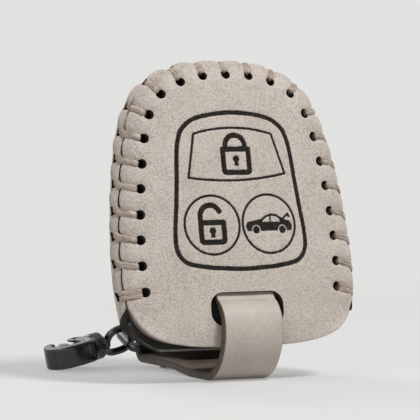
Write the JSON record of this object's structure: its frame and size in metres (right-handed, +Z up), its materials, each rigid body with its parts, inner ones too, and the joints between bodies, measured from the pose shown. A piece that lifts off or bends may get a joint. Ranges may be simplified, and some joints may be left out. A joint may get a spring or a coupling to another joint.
{
  "type": "key holder",
  "caption": "Laced leather key case for a car remote: crowned front, moulded back shell, wrap-under strap with a snap, D ring and small swivel clasp.",
  "frame": {"origin": "middle of the strap's flat foot, on the surface that the case stands on", "axes": "+X to the object's right seen from the front, +Y to its back, +Z up"},
  "size_m": [0.0554, 0.0517, 0.0658],
  "materials": {
    "leather": "vegetable tanned, rubbed grey-beige, fine pebbled grain",
    "raw_leather": "raw flesh side",
    "suede": "dark suede lining",
    "thread": "flat waxed lacing thread",
    "bright_metal": "nickel plated",
    "dark_metal": "dark nickel, polished"
  },
  "bodies": {
    "case": {"front_panel": "leather", "back_shell": "leather", "front_lining": "suede", "back_lining": "suede", "seam_thread": "thread", "strap_root": "raw_leather"},
    "strap": {"strap": "leather", "snap_cap": "bright_metal", "snap_socket": "bright_metal"},
    "strap_end": {"strap_end": "leather", "snap_stud": "bright_metal", "snap_post": "bright_metal"},
    "ring": {"d_ring": "dark_metal"},
    "eye": {"clasp_eye": "dark_metal"},
    "hook": {"hook_body": "dark_metal", "gate_pin": "bright_metal", "gate_spring": "bright_metal"},
    "gate": {"hook_gate": "dark_metal"}
  },
  "joints": [
    {"name": "strap_swing", "type": "hinge", "parent": "case", "child": "strap", "pos_m": [0, -0.00791, 0.01638], "axis": [-1, 0, 0], "range_deg": [0, 55]},
    {"name": "strap_end_open", "type": "hinge", "parent": "strap", "child": "strap_end", "pos_m": [0, 0.02725, 0.0063], "axis": [-1, 0, 0], "range_deg": [0, 60]},
    {"name": "ring_tilt", "type": "hinge", "parent": "strap", "child": "ring", "pos_m": [0, 0.02875, 0.0041], "axis": [1, 0, 0], "range_deg": [-45, 40]},
    {"name": "clasp_link", "type": "hinge", "parent": "ring", "child": "eye", "pos_m": [-0.0083, 0.03345, 0.00581], "axis": [0, 0.9397, 0.342], "range_deg": [-50, 50]},
    {"name": "clasp_swivel", "type": "hinge", "parent": "eye", "child": "hook", "pos_m": [-0.00937, 0.03334, 0.00559], "axis": [-0.9749, -0.1025, -0.1975], "continuous": true},
    {"name": "gate_open", "type": "hinge", "parent": "hook", "child": "gate", "pos_m": [-0.01827, 0.03528, 0.00385], "axis": [-0.1964, -0.0206, 0.9803], "range_deg": [0, 25], "stiffness_Nm_per_rad": 0.004, "springref_deg": -17.19, "deforming": ["gate_spring"]}
  ]
}
